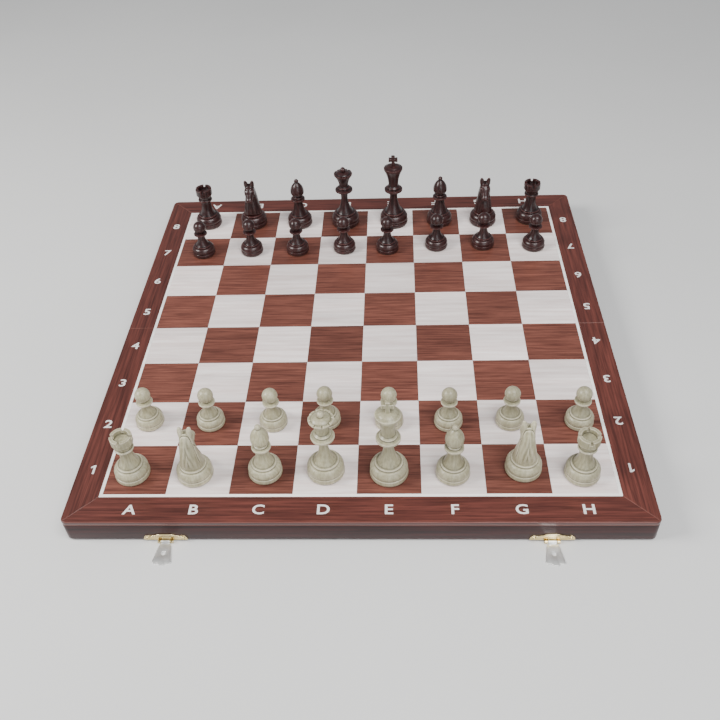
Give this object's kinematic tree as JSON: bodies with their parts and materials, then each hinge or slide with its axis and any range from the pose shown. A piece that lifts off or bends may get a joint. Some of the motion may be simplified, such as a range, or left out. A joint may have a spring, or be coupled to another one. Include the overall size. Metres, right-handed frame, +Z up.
{
  "type": "chess set with folding board",
  "caption": "Folding wooden chess board that shuts into a storage box with brass latches, with a full set of turned wooden men set up to play.",
  "frame": {"origin": "on the table under the middle of the fold between ranks 4 and 5, midway between files d and e", "axes": "+X along a rank from file a to file h, +Y from White to Black, +Z up"},
  "size_m": [0.526, 0.5571, 0.121],
  "materials": {
    "panel_board": "stained and lacquered edge",
    "mahogany_veneer": "satin lacquer",
    "maple_veneer": "satin lacquer",
    "maple_line": "satin lacquer",
    "mahogany_border": "satin lacquer",
    "stained_rail": "gloss lacquer",
    "lining_felt": "matte felt",
    "brass": "rolled satin",
    "latch_brass": "bright plated",
    "steel_wire": "drawn",
    "boxwood": "satin lacquer",
    "ebonised_wood": "satin lacquer"
  },
  "bodies": {
    "front_half": {"front_panel": "panel_board", "front_dark_squares": "mahogany_veneer", "front_light_squares": "maple_veneer", "front_inlay_line": "maple_line", "front_border": "mahogany_border", "front_rail": "stained_rail", "front_side_rails": "stained_rail", "front_hinge_rail": "stained_rail", "front_felt_lining": "lining_felt", "front_hinge_leaves": "brass", "front_hinge_screws": "brass", "hinge_pins": "steel_wire", "latch_plates": "latch_brass", "latch_nails": "latch_brass"},
    "back_half": {"back_panel": "panel_board", "back_dark_squares": "mahogany_veneer", "back_light_squares": "maple_veneer", "back_inlay_line": "maple_line", "back_border": "mahogany_border", "back_rail": "stained_rail", "back_side_rails": "stained_rail", "back_hinge_rail": "stained_rail", "back_felt_lining": "lining_felt", "back_hinge_leaves": "brass", "back_hinge_screws": "brass", "latch_keepers": "latch_brass"},
    "left_latch": {"latch_tongue_left": "latch_brass"},
    "right_latch": {"latch_tongue_right": "latch_brass"},
    "white_rook_a": {"white_rook_a": "boxwood"},
    "white_knight_b": {"white_knight_b": "boxwood"},
    "white_bishop_c": {"white_bishop_c": "boxwood"},
    "white_queen": {"white_queen": "boxwood"},
    "white_king": {"white_king": "boxwood"},
    "white_bishop_f": {"white_bishop_f": "boxwood"},
    "white_knight_g": {"white_knight_g": "boxwood"},
    "white_rook_h": {"white_rook_h": "boxwood"},
    "white_pawn_a": {"white_pawn_a": "boxwood"},
    "white_pawn_b": {"white_pawn_b": "boxwood"},
    "white_pawn_c": {"white_pawn_c": "boxwood"},
    "white_pawn_d": {"white_pawn_d": "boxwood"},
    "white_pawn_e": {"white_pawn_e": "boxwood"},
    "white_pawn_f": {"white_pawn_f": "boxwood"},
    "white_pawn_g": {"white_pawn_g": "boxwood"},
    "white_pawn_h": {"white_pawn_h": "boxwood"},
    "black_rook_a": {"black_rook_a": "ebonised_wood"},
    "black_knight_b": {"black_knight_b": "ebonised_wood"},
    "black_bishop_c": {"black_bishop_c": "ebonised_wood"},
    "black_queen": {"black_queen": "ebonised_wood"},
    "black_king": {"black_king": "ebonised_wood"},
    "black_bishop_f": {"black_bishop_f": "ebonised_wood"},
    "black_knight_g": {"black_knight_g": "ebonised_wood"},
    "black_rook_h": {"black_rook_h": "ebonised_wood"},
    "black_pawn_a": {"black_pawn_a": "ebonised_wood"},
    "black_pawn_b": {"black_pawn_b": "ebonised_wood"},
    "black_pawn_c": {"black_pawn_c": "ebonised_wood"},
    "black_pawn_d": {"black_pawn_d": "ebonised_wood"},
    "black_pawn_e": {"black_pawn_e": "ebonised_wood"},
    "black_pawn_f": {"black_pawn_f": "ebonised_wood"},
    "black_pawn_g": {"black_pawn_g": "ebonised_wood"},
    "black_pawn_h": {"black_pawn_h": "ebonised_wood"}
  },
  "joints": [
    {"name": "fold", "type": "hinge", "parent": "front_half", "child": "back_half", "pos_m": [0, 0, 0.0018], "axis": [-1, 0, 0], "range_deg": [0, 180]},
    {"name": "left_latch_swing", "type": "hinge", "parent": "front_half", "child": "left_latch", "pos_m": [-0.172, -0.2654, 0.0016], "axis": [1, 0, 0], "range_deg": [-90, 90]},
    {"name": "right_latch_swing", "type": "hinge", "parent": "front_half", "child": "right_latch", "pos_m": [0.172, -0.2654, 0.0016], "axis": [1, 0, 0], "range_deg": [-90, 90]},
    {"name": "white_rook_a_lift", "type": "slide", "parent": "front_half", "child": "white_rook_a", "axis": [0, 0, 1], "range_m": [0, 0.12]},
    {"name": "white_knight_b_lift", "type": "slide", "parent": "front_half", "child": "white_knight_b", "axis": [0, 0, 1], "range_m": [0, 0.12]},
    {"name": "white_bishop_c_lift", "type": "slide", "parent": "front_half", "child": "white_bishop_c", "axis": [0, 0, 1], "range_m": [0, 0.12]},
    {"name": "white_queen_lift", "type": "slide", "parent": "front_half", "child": "white_queen", "axis": [0, 0, 1], "range_m": [0, 0.12]},
    {"name": "white_king_lift", "type": "slide", "parent": "front_half", "child": "white_king", "axis": [0, 0, 1], "range_m": [0, 0.12]},
    {"name": "white_bishop_f_lift", "type": "slide", "parent": "front_half", "child": "white_bishop_f", "axis": [0, 0, 1], "range_m": [0, 0.12]},
    {"name": "white_knight_g_lift", "type": "slide", "parent": "front_half", "child": "white_knight_g", "axis": [0, 0, 1], "range_m": [0, 0.12]},
    {"name": "white_rook_h_lift", "type": "slide", "parent": "front_half", "child": "white_rook_h", "axis": [0, 0, 1], "range_m": [0, 0.12]},
    {"name": "white_pawn_a_lift", "type": "slide", "parent": "front_half", "child": "white_pawn_a", "axis": [0, 0, 1], "range_m": [0, 0.12]},
    {"name": "white_pawn_b_lift", "type": "slide", "parent": "front_half", "child": "white_pawn_b", "axis": [0, 0, 1], "range_m": [0, 0.12]},
    {"name": "white_pawn_c_lift", "type": "slide", "parent": "front_half", "child": "white_pawn_c", "axis": [0, 0, 1], "range_m": [0, 0.12]},
    {"name": "white_pawn_d_lift", "type": "slide", "parent": "front_half", "child": "white_pawn_d", "axis": [0, 0, 1], "range_m": [0, 0.12]},
    {"name": "white_pawn_e_lift", "type": "slide", "parent": "front_half", "child": "white_pawn_e", "axis": [0, 0, 1], "range_m": [0, 0.12]},
    {"name": "white_pawn_f_lift", "type": "slide", "parent": "front_half", "child": "white_pawn_f", "axis": [0, 0, 1], "range_m": [0, 0.12]},
    {"name": "white_pawn_g_lift", "type": "slide", "parent": "front_half", "child": "white_pawn_g", "axis": [0, 0, 1], "range_m": [0, 0.12]},
    {"name": "white_pawn_h_lift", "type": "slide", "parent": "front_half", "child": "white_pawn_h", "axis": [0, 0, 1], "range_m": [0, 0.12]},
    {"name": "black_rook_a_lift", "type": "slide", "parent": "back_half", "child": "black_rook_a", "axis": [0, 0, 1], "range_m": [0, 0.12]},
    {"name": "black_knight_b_lift", "type": "slide", "parent": "back_half", "child": "black_knight_b", "axis": [0, 0, 1], "range_m": [0, 0.12]},
    {"name": "black_bishop_c_lift", "type": "slide", "parent": "back_half", "child": "black_bishop_c", "axis": [0, 0, 1], "range_m": [0, 0.12]},
    {"name": "black_queen_lift", "type": "slide", "parent": "back_half", "child": "black_queen", "axis": [0, 0, 1], "range_m": [0, 0.12]},
    {"name": "black_king_lift", "type": "slide", "parent": "back_half", "child": "black_king", "axis": [0, 0, 1], "range_m": [0, 0.12]},
    {"name": "black_bishop_f_lift", "type": "slide", "parent": "back_half", "child": "black_bishop_f", "axis": [0, 0, 1], "range_m": [0, 0.12]},
    {"name": "black_knight_g_lift", "type": "slide", "parent": "back_half", "child": "black_knight_g", "axis": [0, 0, 1], "range_m": [0, 0.12]},
    {"name": "black_rook_h_lift", "type": "slide", "parent": "back_half", "child": "black_rook_h", "axis": [0, 0, 1], "range_m": [0, 0.12]},
    {"name": "black_pawn_a_lift", "type": "slide", "parent": "back_half", "child": "black_pawn_a", "axis": [0, 0, 1], "range_m": [0, 0.12]},
    {"name": "black_pawn_b_lift", "type": "slide", "parent": "back_half", "child": "black_pawn_b", "axis": [0, 0, 1], "range_m": [0, 0.12]},
    {"name": "black_pawn_c_lift", "type": "slide", "parent": "back_half", "child": "black_pawn_c", "axis": [0, 0, 1], "range_m": [0, 0.12]},
    {"name": "black_pawn_d_lift", "type": "slide", "parent": "back_half", "child": "black_pawn_d", "axis": [0, 0, 1], "range_m": [0, 0.12]},
    {"name": "black_pawn_e_lift", "type": "slide", "parent": "back_half", "child": "black_pawn_e", "axis": [0, 0, 1], "range_m": [0, 0.12]},
    {"name": "black_pawn_f_lift", "type": "slide", "parent": "back_half", "child": "black_pawn_f", "axis": [0, 0, 1], "range_m": [0, 0.12]},
    {"name": "black_pawn_g_lift", "type": "slide", "parent": "back_half", "child": "black_pawn_g", "axis": [0, 0, 1], "range_m": [0, 0.12]},
    {"name": "black_pawn_h_lift", "type": "slide", "parent": "back_half", "child": "black_pawn_h", "axis": [0, 0, 1], "range_m": [0, 0.12]}
  ]
}
